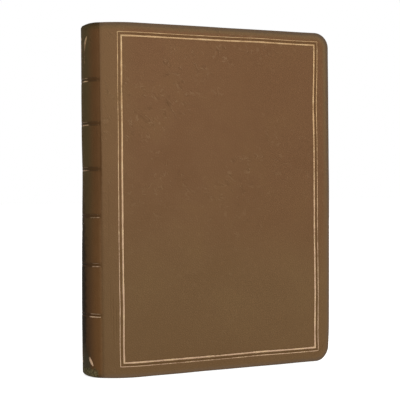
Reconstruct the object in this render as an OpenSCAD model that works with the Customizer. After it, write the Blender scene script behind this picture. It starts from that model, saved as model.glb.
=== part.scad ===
// Small octavo book in soft brown leather, standing on its tail.
// X runs from the spine to the fore-edge, Y from the front cover to the back cover, Z from tail to head.
// The origin is the centre of the base.

/* [Covers] */
// Height of the covers from tail to head
book_h = 171; // [150:0.5:190]
// Thickness over both covers
book_t = 30; // [28:0.5:36]
// Width of a cover from the hinge line to the fore-edge
cover_w = 120.5; // [105:0.5:135]
// Radius of the rounded fore-edge corners of the covers
corner_r = 7; // [4:0.5:9]
// Radius of the leather's rolled edge
edge_r = 1.1; // [0.5:0.1:1.3]

/* [Hinges and spine] */
// Fall of the cover from its flat face to the hinge line
hinge_fall = 4.4; // [3.5:0.1:5]
// Slope of the cover at the hinge line, in degrees
hinge_slope = 26; // [22:1:30]
// Radius of the crease that is pressed into the leather along the hinge line
crease_r = 0.45; // [0.3:0.05:0.6]
// Strip of bare leather between a board and its hinge line
board_gap = 3; // [2.5:0.1:4]

/* [Leather, boards and paper] */
// Thickness of the leather
leather_t = 0.9; // [0.7:0.05:1]
// Thickness of a board
board_t = 1.2; // [0.8:0.1:1.4]
// Thickness of the pared leather that is turned in over a board
turn_in_t = 0.6; // [0.4:0.05:0.8]
// Width of the turned-in leather
turn_in_w = 13; // [9:0.5:18]
// Thickness of the endpaper
paper_t = 0.15; // [0.1:0.05:0.25]
// Margin of turned-in leather that shows round a pastedown
pastedown_margin = 3; // [2:0.5:6]

/* [Pages] */
// How far the covers stand beyond the pages at head and tail
head_square = 3; // [2:0.5:4]
// How far the covers stand beyond the pages at the fore-edge
fore_square = 3.5; // [2:0.5:5]
// Radius of the pages' rounded fore-edge corners
page_corner_r = 6; // [3:0.5:9]
// Depth of the hollow along the pages' fore-edge
fore_hollow = 3; // [1:0.5:4]

/* [Gilt frame] */
// Distance from the hinge line to the outer gilt line of the frame
frame_hinge_margin = 8; // [7:0.1:12]
// Distance from the fore-edge to the outer gilt line
frame_fore_margin = 6.6; // [5:0.1:12]
// Distance from the head to the outer gilt line
frame_head_margin = 4.4; // [3:0.1:10]
// Distance from the tail to the outer gilt line
frame_tail_margin = 5.3; // [3:0.1:10]
// Distance between the middles of the two gilt lines
fillet_pitch = 1.8; // [1.4:0.1:2.5]
// Width of the outer gilt line
outer_fillet_w = 0.35; // [0.2:0.05:0.6]
// Width of the inner gilt line
inner_fillet_w = 0.65; // [0.4:0.05:1]

/* [Gilt spine] */
// Height of the uppermost pair of rules across the spine
first_rule_z = 143.9; // [140:0.1:146]
// Distance from the first pair of rules to the second
first_panel = 21; // [18:0.1:22]
// How much taller each panel is than the one above it
panel_growth = 0.9; // [0:0.1:1]
// Pairs of rules across the spine
rule_pairs = 6; // [3:1:6]
// Distance between the middles of the two rules of a pair
rule_pitch = 1.3; // [1:0.1:1.6]
// Width of the upper, fine rule of a pair
fine_rule_w = 0.3; // [0.2:0.05:0.5]
// Width of the lower, broad rule of a pair
broad_rule_w = 0.5; // [0.3:0.05:0.7]
// Height of the ornament in the head panel and in the tail panel
ornament_h = 14; // [10:0.5:16]
// Distance of each ornament from the head or the tail
ornament_margin = 5.5; // [4:0.5:8]

/* [Hidden] */
$fn = 120;

leather_colour = "#7a5b3f";
gilt_colour = "#c9a66b";
board_colour = "#8d8577";
card_colour = "#9c8f78";
kraft_colour = "#b08d5e";
paper_colour = "#e9dfc6";
marbled_colour = "#d8c9a8";
linen_colour = "#cfc4ab";
mull_colour = "#ddd6c4";
silk_colour = "#a8642f";

// The outer skin in plan: a flat face, a shoulder arc that falls to the hinge line and a spine arc.
shoulder_r = hinge_fall / (1 - cos(hinge_slope));
spine_r = (book_t / 2 - hinge_fall) / cos(hinge_slope);
spine_rise = spine_r * (1 - sin(hinge_slope));
book_w = cover_w + spine_rise;
fore_x = book_w / 2;
hinge_x = fore_x - cover_w;
hinge_y = book_t / 2 - hinge_fall;
shoulder_x = hinge_x + shoulder_r * sin(hinge_slope);
spine_x = hinge_x + spine_r * sin(hinge_slope);
spine_sweep = 180 - 2 * hinge_slope;

// Depths below the outer skin, cover side
cover_t = leather_t + board_t + turn_in_t;
pastedown_in = cover_t + paper_t;
opening_gap = 0.3;
page_in = pastedown_in + opening_gap + paper_t;
flange_in = leather_t + 0.5;
flange_gap = 0.6;

// Depths below the outer skin, spine side
stiffener_t = 0.4;
hollow_wall = 0.25;
hollow_depth = 1.1;
tape_t = 0.4;
mull_t = 0.2;
cap_turn_in_t = 0.7;
stiffener_in = leather_t;
hollow_in = stiffener_in + stiffener_t;
mull_in = hollow_in + hollow_depth;
spine_page_in = mull_in + mull_t;
cap_t = hollow_in + cap_turn_in_t;
cap_edge_r = 0.6;

gilt_t = 0.08;
half_hinge_gap = 0.15;
seam_angle = 0.1;
cover_gap_angle = half_hinge_gap / shoulder_r * 180 / PI;
spine_gap_angle = half_hinge_gap / spine_r * 180 / PI;
board_end_angle = hinge_slope - board_gap / shoulder_r * 180 / PI;
flange_angle = board_end_angle + flange_gap / shoulder_r * 180 / PI;
cover_end_angle = hinge_slope - cover_gap_angle;

page_z = head_square;
page_top = book_h - head_square;
page_x = fore_x - fore_square;
page_half_t = book_t / 2 - page_in;
fore_land = 0.5;

tape_w = 12;
tape_count = 3;
tape_heights = [for (i = [1:tape_count]) page_z + (page_top - page_z) * i / (tape_count + 1) - tape_w / 2];
band_r = 0.8;
band_strip_t = 0.25;
band_strip_h = 8;
hollow_inset_z = leather_t + turn_in_w + 1;
rule_side_trim = 4;
leaf_lean = 16;
margin_bit = 1;

rule_heights = [
    for (i = [0:rule_pairs - 1]) first_rule_z - first_panel * i - panel_growth * i * (i - 1) / 2
];

// Points along an arc from angle a0 to angle a1
function arc(centre, r, a0, a1, steps) =
    [for (i = [0:steps]) let (a = a0 + (a1 - a0) * i / steps) centre + r * [cos(a), sin(a)]];

// The same points on the back's side, in reverse order and without the last one, which lies on the middle line
function mirrored(points) = [for (i = [len(points) - 2:-1:0]) [points[i][0], -points[i][1]]];

// Waste beyond a rounded corner of radius r at the origin, whose solid lies towards +x and +y
module corner_waste_2d(r) {
    difference() {
        translate([-margin_bit, -margin_bit])
            square(r + margin_bit);
        translate([r, r])
            circle(r);
    }
}

// Waste at the four corners of an upright bar
module bar_waste_2d(t, h, r) {
    for (x = [0, 1], z = [0, 1])
        translate([x * t, z * h])
            mirror([x, 0])
                mirror([0, z])
                    corner_waste_2d(r);
}

// Waste at the two corners of the far end of a bar that lies along +x
module nose_waste_2d(length, t, r) {
    for (y = [0, 1])
        translate([length, y * t])
            mirror([0, y])
                mirror([1, 0])
                    corner_waste_2d(r);
}

// Cover outline seen from the front, from the shoulder to the fore-edge, with rounded fore-edge corners
module outline_2d(x0, x1, z0, z1, r) {
    translate([x0, z0])
        square([x1 - x0 - r, z1 - z0]);
    translate([x0, z0 + r])
        square([x1 - x0, z1 - z0 - 2 * r]);
    for (z = [z0 + r, z1 - r])
        translate([x1 - r, z])
            circle(r);
}

// Raises a shape drawn in x and z into a slab between two depths below the front face
module front_slab(d0, d1) {
    translate([0, -book_t / 2 + d1, 0])
        rotate([90, 0, 0])
            linear_extrude(d1 - d0)
                children();
}

// Sweeps a section, drawn as radius and height, round the front shoulder between two angles from its start
module shoulder_sweep(a0, a1) {
    translate([shoulder_x, shoulder_r - book_t / 2, 0])
        rotate([0, 0, 270 - a1])
            rotate_extrude(angle = a1 - a0)
                children();
}

// Sweeps a section, drawn as radius and height, round the spine from hinge to hinge
module spine_turn(trim = 0) {
    translate([spine_x, 0, 0])
        rotate([0, 0, 90 + hinge_slope + trim])
            rotate_extrude(angle = spine_sweep - 2 * trim)
                children();
}

// Rectangle between two depths below the skin of radius r and between two heights
module layer_2d(r, d0, d1, z0, z1) {
    translate([r - d1, z0])
        square([d1 - d0, z1 - z0]);
}

// Front cover in plan between two depths: a flat stretch and a bend that ends at an angle of the shoulder
module front_plan_2d(d0, d1, end_angle) {
    translate([shoulder_x, d0 - book_t / 2])
        square([fore_x - shoulder_x, d1 - d0]);
    translate([shoulder_x, shoulder_r - book_t / 2])
        intersection() {
            difference() {
                circle(shoulder_r - d0);
                circle(shoulder_r - d1);
            }
            polygon([[0, 0], book_w * [cos(270), sin(270)], book_w * [cos(270 - end_angle), sin(270 - end_angle)]]);
        }
}

// Sheet that follows the front cover between two depths and keeps a margin from its edges
module front_sheet(d0, d1, margin, r, end_angle) {
    intersection() {
        translate([0, 0, margin])
            linear_extrude(book_h - 2 * margin)
                front_plan_2d(d0, d1, end_angle);
        front_slab(0, book_t)
            outline_2d(-fore_x, fore_x - margin, margin, book_h - margin, r);
    }
}

// Waste that leaves a rolled edge round the front cover
module front_edge_waste() {
    translate([shoulder_x, -book_t / 2, 0])
        rotate([90, 0, 90])
            linear_extrude(fore_x - corner_r - shoulder_x)
                bar_waste_2d(cover_t, book_h, edge_r);
    translate([fore_x - corner_r, -book_t / 2, corner_r])
        linear_extrude(book_h - 2 * corner_r)
            nose_waste_2d(corner_r, cover_t, edge_r);
    for (side = [0, 1])
        translate([fore_x - corner_r, -book_t / 2 + cover_t, side == 0 ? corner_r : book_h - corner_r])
            rotate([90, 0, 0])
                rotate([0, 0, side == 0 ? -90 : 0])
                    rotate_extrude(angle = 90)
                        nose_waste_2d(corner_r, cover_t, edge_r);
    shoulder_sweep(seam_angle, hinge_slope)
        translate([shoulder_r - cover_t, 0])
            bar_waste_2d(cover_t, book_h, edge_r);
}

// Space beside the board, where only the outer layer of leather goes on to the hinge line
module front_joint_space() {
    shoulder_sweep(board_end_angle, hinge_slope + 1)
        layer_2d(shoulder_r, leather_t, cover_t + margin_bit, -margin_bit, book_h + margin_bit);
}

// Crease along the front hinge line
module front_crease() {
    translate([hinge_x, -hinge_y, -margin_bit])
        cylinder(r = crease_r, h = book_h + 2 * margin_bit);
}

// One gilt line of the front frame, let into the skin; inset is counted from the outer line
module front_fillet(inset, w) {
    x0 = hinge_x + frame_hinge_margin + inset;
    x1 = fore_x - frame_fore_margin - inset;
    z0 = frame_tail_margin + inset;
    z1 = book_h - frame_head_margin - inset;
    intersection() {
        front_slab(-margin_bit, hinge_fall)
            difference() {
                translate([x0 - w / 2, z0 - w / 2])
                    square([x1 - x0 + w, z1 - z0 + w]);
                translate([x0 + w / 2, z0 + w / 2])
                    square([x1 - x0 - w, z1 - z0 - w]);
            }
        linear_extrude(book_h)
            front_plan_2d(0, gilt_t, hinge_slope);
    }
}

module front_board() {
    color(board_colour)
        front_sheet(leather_t, leather_t + board_t, leather_t, corner_r - leather_t, board_end_angle);
}

module front_infill() {
    color(card_colour)
        front_sheet(leather_t + board_t, cover_t, turn_in_w, corner_r, board_end_angle);
}

module front_leather() {
    color(leather_colour)
        difference() {
            front_sheet(0, cover_t, 0, corner_r, cover_end_angle);
            front_edge_waste();
            front_joint_space();
            front_board();
            front_infill();
            front_crease();
            front_outer_fillet();
            front_inner_fillet();
        }
}

module front_pastedown() {
    color(marbled_colour)
        front_sheet(cover_t, pastedown_in, pastedown_margin, corner_r - pastedown_margin, board_end_angle);
}

module front_outer_fillet() {
    color(gilt_colour)
        front_fillet(0, outer_fillet_w);
}

module front_inner_fillet() {
    color(gilt_colour)
        front_fillet(fillet_pitch, inner_fillet_w);
}

module back_board() {
    mirror([0, 1, 0])
        front_board();
}

module back_infill() {
    mirror([0, 1, 0])
        front_infill();
}

module back_leather() {
    mirror([0, 1, 0])
        front_leather();
}

module back_pastedown() {
    mirror([0, 1, 0])
        front_pastedown();
}

module back_outer_fillet() {
    mirror([0, 1, 0])
        front_outer_fillet();
}

module back_inner_fillet() {
    mirror([0, 1, 0])
        front_inner_fillet();
}

// Front half of the pages in plan: fore-edge, face, foot of the flange, flange, step and rounded back
function page_front_points() = concat(
    [[page_x, -page_half_t]],
    arc([shoulder_x, shoulder_r - book_t / 2], shoulder_r - page_in, 270, 270 - flange_angle, 10),
    arc([shoulder_x, shoulder_r - book_t / 2], shoulder_r - flange_in, 270 - flange_angle, 270 - hinge_slope, 3),
    arc([spine_x, 0], spine_r - spine_page_in, 270 - hinge_slope, 180, 16)
);

// The pages, swollen into a rounded back with a shoulder on each side and a hollow fore-edge
module text_block() {
    half_chord = page_half_t - fore_land;
    hollow_r = (half_chord * half_chord + fore_hollow * fore_hollow) / (2 * fore_hollow);
    color(paper_colour)
        difference() {
            intersection() {
                translate([0, 0, page_z])
                    linear_extrude(page_top - page_z)
                        polygon(concat(page_front_points(), mirrored(page_front_points())));
                front_slab(0, book_t)
                    outline_2d(-fore_x, page_x, page_z, page_top, page_corner_r);
            }
            translate([page_x + hollow_r - fore_hollow, 0, 0])
                cylinder(r = hollow_r, h = book_h);
            tape_rings(spine_page_in, spine_page_in + tape_t);
        }
}

// First leaf of the front endpaper, laid on the pages
module front_flyleaf() {
    color(marbled_colour)
        intersection() {
            linear_extrude(book_h)
                front_plan_2d(page_in - paper_t, page_in, board_end_angle);
            front_slab(0, book_t)
                outline_2d(-fore_x, page_x, page_z, page_top, page_corner_r);
        }
}

module back_flyleaf() {
    mirror([0, 1, 0])
        front_flyleaf();
}

module tape_rings(d0, d1) {
    for (z = tape_heights)
        spine_turn(rule_side_trim)
            layer_2d(spine_r, d0, d1, z, z + tape_w);
}

module sewing_tapes() {
    color(linen_colour)
        tape_rings(spine_page_in, spine_page_in + tape_t);
}

// Open-weave cloth glued over the back of the pages
module spine_mull() {
    color(mull_colour)
        spine_turn(spine_gap_angle)
            layer_2d(spine_r, mull_in, spine_page_in, page_z + 2, page_top - 2);
}

// Flattened paper tube between the pages and the spine leather
module hollow_tube() {
    color(kraft_colour)
        difference() {
            spine_turn(rule_side_trim)
                layer_2d(spine_r, hollow_in, mull_in, hollow_inset_z, book_h - hollow_inset_z);
            translate([0, 0, -margin_bit])
                spine_turn(rule_side_trim + 2)
                    layer_2d(spine_r, hollow_in + hollow_wall, mull_in - hollow_wall, 0, book_h + 2 * margin_bit);
        }
}

module spine_stiffener() {
    color(card_colour)
        spine_turn(rule_side_trim)
            layer_2d(spine_r, stiffener_in, hollow_in, leather_t, book_h - leather_t);
}

// Embroidered bead on the edge of the pages, with its strip glued down the back
module band_at_head() {
    spine_turn(rule_side_trim + 4) {
        translate([spine_r - spine_page_in - band_r, page_top + band_r])
            circle(band_r, $fn = 24);
        layer_2d(spine_r, mull_in - band_strip_t, mull_in, page_top - band_strip_h, page_top + band_r);
        translate([spine_r - spine_page_in - band_r, page_top + band_r - band_strip_t])
            square([band_r + mull_t + band_strip_t / 2, 2 * band_strip_t]);
    }
}

module head_band() {
    color(silk_colour)
        band_at_head();
}

module tail_band() {
    color(silk_colour)
        translate([0, 0, book_h])
            mirror([0, 0, 1])
                band_at_head();
}

// Leather of the spine, folded over the ends of the stiffener and turned in behind it
module spine_leather() {
    color(leather_colour)
        difference() {
            spine_turn(spine_gap_angle)
                difference() {
                    layer_2d(spine_r, 0, cap_t, 0, book_h);
                    translate([spine_r - cap_t, 0])
                        bar_waste_2d(cap_t, book_h, cap_edge_r);
                    layer_2d(spine_r, leather_t, cap_t + margin_bit, turn_in_w, book_h - turn_in_w);
                    layer_2d(spine_r, stiffener_in, hollow_in, leather_t, book_h - leather_t);
                }
            front_crease();
            mirror([0, 1, 0])
                front_crease();
            spine_rules();
            head_ornament();
            tail_ornament();
        }
}

// Pairs of gilt rules round the spine
module spine_rules() {
    color(gilt_colour)
        for (z = rule_heights)
            spine_turn(rule_side_trim) {
                layer_2d(spine_r, 0, gilt_t, z + rule_pitch / 2 - fine_rule_w / 2, z + rule_pitch / 2 + fine_rule_w / 2);
                layer_2d(spine_r, 0, gilt_t, z - rule_pitch / 2 - broad_rule_w / 2, z - rule_pitch / 2 + broad_rule_w / 2);
            }
}

// Radius of the arc with this chord and rise
function arc_radius(chord, rise) = (chord * chord / 4 + rise * rise) / (2 * rise);

// Crescent leaf that stands on the origin, with both its arcs bulging towards -x
module leaf_2d(length, near_rise, far_rise) {
    far_r = arc_radius(length, far_rise);
    near_r = arc_radius(length, near_rise);
    difference() {
        translate([far_r - far_rise, length / 2])
            circle(far_r);
        translate([near_r - near_rise, length / 2])
            circle(near_r);
    }
}

// Pointed bud that stands on the origin
module bud_2d(length, half_w) {
    r = arc_radius(length, half_w);
    intersection() {
        translate([r - half_w, length / 2])
            circle(r);
        translate([half_w - r, length / 2])
            circle(r);
    }
}

// Flaring pair of leaves round a bud, a lozenge and a dot, drawn upwards from its root
module ornament_2d() {
    for (side = [0, 1])
        mirror([side, 0])
            translate([ornament_h * 0.26, 0])
                rotate(-leaf_lean)
                    leaf_2d(ornament_h, ornament_h * 0.07, ornament_h * 0.15);
    translate([0, ornament_h * 0.3])
        bud_2d(ornament_h * 0.45, ornament_h * 0.08);
    translate([0, ornament_h * 0.12])
        rotate(45)
            square(ornament_h * 0.1, center = true);
    translate([0, ornament_h * 0.9])
        circle(ornament_h * 0.05);
}

// Presses a shape, drawn in y and z, into the skin of the spine
module on_spine() {
    intersection() {
        translate([-fore_x - margin_bit, 0, 0])
            rotate([90, 0, 90])
                linear_extrude(spine_rise + margin_bit)
                    children();
        spine_turn(rule_side_trim)
            layer_2d(spine_r, 0, gilt_t, 0, book_h);
    }
}

module head_ornament() {
    color(gilt_colour)
        on_spine()
            translate([0, book_h - ornament_margin - ornament_h])
                ornament_2d();
}

module tail_ornament() {
    color(gilt_colour)
        on_spine()
            translate([0, ornament_margin + ornament_h])
                mirror([0, 1])
                    ornament_2d();
}

text_block();
front_flyleaf();
back_flyleaf();
sewing_tapes();
spine_mull();
hollow_tube();
spine_stiffener();
head_band();
tail_band();
spine_leather();
spine_rules();
head_ornament();
tail_ornament();
front_board();
front_infill();
front_leather();
front_pastedown();
front_outer_fillet();
front_inner_fillet();
back_board();
back_infill();
back_leather();
back_pastedown();
back_outer_fillet();
back_inner_fillet();
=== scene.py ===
"""A small leather book with gilt lines: its leather skins, gilt, endpapers and sewn pages.

Lengths are in millimetres here and become metres when a mesh is made. +X runs from the
spine to the fore-edge, +Y from the front cover to the back cover, +Z from tail to head.
A place on the leather is given by its girth, the distance along the outer skin from the
middle of the spine (negative on the front), and by its height.
"""
import math

import bmesh
import bpy
import numpy as np
from mathutils import Matrix, Vector


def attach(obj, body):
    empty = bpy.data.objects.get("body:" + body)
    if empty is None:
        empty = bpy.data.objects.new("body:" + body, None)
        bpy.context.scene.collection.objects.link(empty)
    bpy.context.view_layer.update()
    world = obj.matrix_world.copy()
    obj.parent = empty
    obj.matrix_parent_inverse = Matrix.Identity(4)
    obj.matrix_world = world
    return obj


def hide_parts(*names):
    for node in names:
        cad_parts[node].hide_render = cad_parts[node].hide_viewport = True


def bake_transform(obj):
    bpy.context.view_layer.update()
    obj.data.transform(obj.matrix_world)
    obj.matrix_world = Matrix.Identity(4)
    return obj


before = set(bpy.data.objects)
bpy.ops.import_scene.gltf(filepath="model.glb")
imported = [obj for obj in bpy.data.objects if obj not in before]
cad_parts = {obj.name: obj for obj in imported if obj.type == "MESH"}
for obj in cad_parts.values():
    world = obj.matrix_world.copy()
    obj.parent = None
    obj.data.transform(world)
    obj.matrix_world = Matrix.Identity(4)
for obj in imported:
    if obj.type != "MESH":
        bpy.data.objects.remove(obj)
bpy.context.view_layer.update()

MM = 0.001

# ---------------------------------------------------------------- the binder's sizes

BOOK_H = 171.0
BOOK_T = 30.0
COVER_W = 120.5
CORNER_R = 7.8
HINGE_FALL = 4.4
HINGE_SLOPE = math.radians(26)
BOARD_GAP = 3.0
LEATHER_T = 0.9
COVER_T = 2.7
CAP_T = 2.0
STIFFENED_T = 1.35
PAPER_T = 0.15
PAGE_IN = 3.3
FLANGE_IN = 1.4
HEAD_SQUARE = 3.0
FORE_SQUARE = 3.5
ROLL_R = 1.0
ROLL_STEPS = 16

SHOULDER_R = HINGE_FALL / (1 - math.cos(HINGE_SLOPE))
SPINE_R = (BOOK_T / 2 - HINGE_FALL) / math.cos(HINGE_SLOPE)
FORE_X = (COVER_W + SPINE_R * (1 - math.sin(HINGE_SLOPE))) / 2
HINGE_X = FORE_X - COVER_W
SHOULDER_X = HINGE_X + SHOULDER_R * math.sin(HINGE_SLOPE)
SPINE_X = HINGE_X + SPINE_R * math.sin(HINGE_SLOPE)

# Girths of the hinge line, the end of the shoulder and the fore-edge
HINGE_W = SPINE_R * (math.pi / 2 - HINGE_SLOPE)
SHOULDER_W = HINGE_W + SHOULDER_R * HINGE_SLOPE
FORE_W = SHOULDER_W + FORE_X - SHOULDER_X
BOARD_W = HINGE_W + BOARD_GAP
JOIN_W = HINGE_W - 1.7


def girth_at(x):
    """Girth of the cover's skin at a distance x along the book."""
    if x >= SHOULDER_X:
        return SHOULDER_W + x - SHOULDER_X
    return HINGE_W + SHOULDER_R * (HINGE_SLOPE - math.asin((SHOULDER_X - x) / SHOULDER_R))


# The gilt frame of a cover: corners of its outer line as (girth, height), pitch and widths
LINE_LO = np.array([girth_at(HINGE_X + 8.25), 5.6])
LINE_HI = np.array([girth_at(FORE_X - 6.7), BOOK_H - 4.7])
LINE_PITCH = 1.8
OUTER_LINE_W = 0.35
INNER_LINE_W = 0.72

# The gilt of the spine: middles of the pairs of rules, their pitch, and the ornaments
RULE_Z = [143.7 - 20.95 * i - 0.43 * i * (i - 1) for i in range(6)]
RULE_PITCH = 1.45
ORNAMENT_H = 14.0
ORNAMENT_MARGIN = 5.5

# ---------------------------------------------------------------- how the leather is worn

# Soft bulges, each as its middle height, its reach and how far out it stands: slips of the
# finisher's hand down the fore-edge lines, the spread fore-edge, and the slumped spine,
# which has also settled by this much towards the head
HAND_SLIPS = [(131, 17, -0.45), (45, 20, 0.20)]
FORE_SPREAD = [(85, 55, 0.45), (4, 9, -0.55)]
SPINE_SLUMP = [(18, 56, 0.85), (97, 16, -0.25)]
SPINE_SETTLE = 0.30

# Hollows pressed by the tools, each as its place, depth and width. A line's place is its
# inset in the frame, and a rule's is its rise from the middle of its pair
LINE_HOLLOWS = [(0, 0.10, 0.32), (LINE_PITCH, 0.12, 0.45)]
RULE_HOLLOWS = [(RULE_PITCH / 2, 0.09, 0.35), (-RULE_PITCH / 2, 0.12, 0.42)]
HINGE_PRESS, HINGE_PRESS_W = 0.28, 0.7

# The worn skin lies this far below the plain one, and this much more near a cover's edges
SKIN_SINK, EDGE_SINK = 0.10, 0.10

# The rubbed ends of the spine: half width, reach from the end, and depth at head and tail
CAP_HALF_W, CAP_REACH, HEAD_DIP, TAIL_DIP = 11.5, 7, 0.85, 0.62

# Width of a cover's rim, which is rubbed and carries painted shade and a painted highlight of the
# rolled edge
RIM_W = 4.8

# Creases in the leather, each as its ends (girth, height), its sideways bow, depth and width
CREASES = [
    ((-18.9, 13.0), (-18.7, 44.0), 0.15, 0.10, 0.28),
    ((-20.1, 19.0), (-20.0, 37.0), -0.10, 0.12, 0.24),
    ((-17.6, 22.0), (-17.4, 52.0), 0.12, 0.07, 0.26),
    ((-16.6, 60.0), (-16.9, 96.0), -0.15, 0.05, 0.26),
    ((-128.6, 30.0), (-129.3, 74.0), 0.5, 0.10, 0.30),
    ((-131.2, 112.0), (-130.4, 146.0), -0.4, 0.09, 0.28),
    ((-122.0, 168.6), (-132.0, 160.0), 1.1, 0.14, 0.32),
    ((-123.0, 2.6), (-131.6, 10.0), -1.1, 0.13, 0.32),
    ((19.0, 60.0), (18.2, 96.0), 0.5, 0.12, 0.30),
    ((20.5, 120.0), (19.4, 141.0), -0.4, 0.12, 0.28),
    ((123.0, 168.4), (132.0, 160.4), -1.0, 0.12, 0.32),
    ((122.6, 2.4), (132.0, 10.4), 1.0, 0.12, 0.32),
    ((66.0, 40.0), (91.0, 47.0), 2.0, 0.06, 0.45),
    ((44.0, 118.0), (70.0, 131.0), -2.4, 0.06, 0.45),
]


def ramp(value, start, end):
    """0 before start, 1 after end, and smooth between them."""
    t = np.clip((value - start) / (end - start), 0, 1)
    return t * t * (3 - 2 * t)


def fall(value, start, end):
    """1 before start, 0 after end, and smooth between them."""
    return 1 - ramp(value, start, end)


def within(value, low, high, soft):
    """1 well between low and high, 0 outside them, with a soft edge inside each."""
    return ramp(value - low, 0, soft) * ramp(high - value, 0, soft)


def bell(distance, width):
    """1 at no distance, falling to nothing over about twice the width."""
    return np.exp(-(distance / width) ** 2)


def fading(value, start, width):
    """1 up to start, falling to nothing over about twice the width."""
    return bell(np.clip(value - start, 0, None), width)


def arch(t):
    """1 at 0, falling smoothly to 0 at -1 and 1."""
    return np.cos(np.clip(t, -1, 1) * math.pi / 2) ** 2


def bowed(t):
    """A bow's rise from 0 at its ends, 0 and 1, to 1 at its middle."""
    return 4 * t * (1 - t)


def swell(height, bulges):
    """How far out some soft bulges stand at a height."""
    return sum(out * bell(height - middle, reach) for middle, reach, out in bulges)


def hills(u, v, size, seed):
    """Smooth random heights from -1 to 1, in hills about a size across."""
    cells = 64
    lattice = np.random.default_rng(seed).uniform(-1, 1, (cells, cells))
    x, y = np.broadcast_arrays(np.asarray(u, float) / size, np.asarray(v, float) / size)
    i, j = np.floor(x).astype(int), np.floor(y).astype(int)
    s, t = ramp(x - i, 0, 1), ramp(y - j, 0, 1)
    at = lambda di, dj: lattice[(i + di) % cells, (j + dj) % cells]
    low = at(0, 0) * (1 - s) + at(1, 0) * s
    high = at(0, 1) * (1 - s) + at(1, 1) * s
    return low * (1 - t) + high * t


def skin_point(girth, depth):
    """Plan point of the book that lies a depth below the plain outer skin."""
    side = np.where(girth < 0, -1.0, 1.0)
    a = np.abs(girth)
    on_spine = a < HINGE_W
    bend = np.clip(HINGE_SLOPE - (a - HINGE_W) / SHOULDER_R, 0, None)
    turn = np.where(on_spine, a / SPINE_R, math.pi / 2 - bend)
    out_x, out_y = -np.cos(turn), np.sin(turn)
    x = np.where(on_spine, SPINE_X + SPINE_R * out_x,
                 SHOULDER_X + SHOULDER_R * out_x + np.clip(a - SHOULDER_W, 0, None))
    y = np.where(on_spine, SPINE_R * out_y, BOOK_T / 2 - SHOULDER_R * (1 - out_y))
    return x - depth * out_x, side * (y - depth * out_y)


def on_cover(a):
    """0 up to the hinge line, 1 on the flat of the cover."""
    return ramp(a, HINGE_W + 2, SHOULDER_W)


def hand_drift(girth, height):
    """How far the finisher's hand wandered from the ruled gilt lines, in girth and in height."""
    a, side = np.abs(girth), np.where(girth < 0, 3, 11)
    along = 0.13 * hills(height, side, 17, 5) + 0.03 * hills(height, side, 5, 6)
    up = 0.12 * hills(a, side, 19, 7) + 0.03 * hills(a, side, 6, 8)
    return along + swell(height, HAND_SLIPS) * ramp(a, FORE_W - 25, FORE_W - 12), up


def line_distance(girth, height, inset):
    """Distance from a place on a cover to a gilt line of the frame."""
    along, up = hand_drift(girth, height)
    middle, half = (LINE_LO + LINE_HI) / 2, (LINE_HI - LINE_LO) / 2 - inset
    return np.maximum(np.abs(np.abs(girth) - along - middle[0]) - half[0],
                      np.abs(height - up - middle[1]) - half[1])


def edge_distance(girth, height):
    """Distance from a place on the outer skin to the nearest edge of the leather."""
    to_fore, to_end = FORE_W - np.abs(girth), np.minimum(height, BOOK_H - height)
    in_corner = (to_fore < CORNER_R) & (to_end < CORNER_R)
    round_corner = CORNER_R - np.hypot(CORNER_R - to_fore, CORNER_R - to_end)
    return np.where(in_corner, round_corner, np.minimum(to_fore, to_end))


def crease_depth(girth, height):
    """How deep the creases are at a place."""
    deep = np.zeros(np.shape(girth))
    for (w0, z0), (w1, z1), bow, depth, width in CREASES:
        run, rise = w1 - w0, z1 - z0
        length = math.hypot(run, rise)
        t = ((girth - w0) * run + (height - z0) * rise) / length ** 2
        across = ((girth - w0) * rise - (height - z0) * run) / length - bow * bowed(t)
        deep = np.maximum(deep, depth * bell(across, width) * within(t, -0.05, 1.05, 0.3))
    return deep


def fore_bow(girth, height):
    """How far the fore-edge has spread, most at its middle, and is drawn in at the foot."""
    return swell(height, FORE_SPREAD) * ramp(np.abs(girth), FORE_W - 6, FORE_W - 1.5)


def relief(girth, height):
    """How far the leather stands out from the plain skin: nearly everywhere it lies below."""
    a = np.abs(girth)
    cover, spine = on_cover(a), fall(a, JOIN_W - 3, HINGE_W)
    out = 0.07 * hills(girth, height, 31, 21) + 0.03 * hills(girth, height, 9, 22) - SKIN_SINK
    out = out - EDGE_SINK * cover * fall(edge_distance(girth, height), 2, 12)
    for inset, depth, width in LINE_HOLLOWS:
        out = out - depth * cover * bell(line_distance(girth, height, inset), width)
    out = out - HINGE_PRESS * bell(a - HINGE_W, HINGE_PRESS_W) - crease_depth(girth, height)
    for z in RULE_Z:
        for rise, depth, width in RULE_HOLLOWS:
            out = out - depth * spine * bell(height - z - rise, width)
    slump = swell(height, SPINE_SLUMP) - SPINE_SETTLE * ramp(height, 110, 165)
    return out + slump * arch(a / HINGE_W)


def cap_dip(girth, height):
    """How far the ends of the spine are rubbed down towards the middle of the book."""
    rubbed = arch(girth / CAP_HALF_W) * (0.8 + 0.25 * hills(girth, height, 4, 31))
    return rubbed * (HEAD_DIP * ramp(height, BOOK_H - CAP_REACH, BOOK_H)
                     - TAIL_DIP * ramp(CAP_REACH - height, 0, CAP_REACH))


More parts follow.
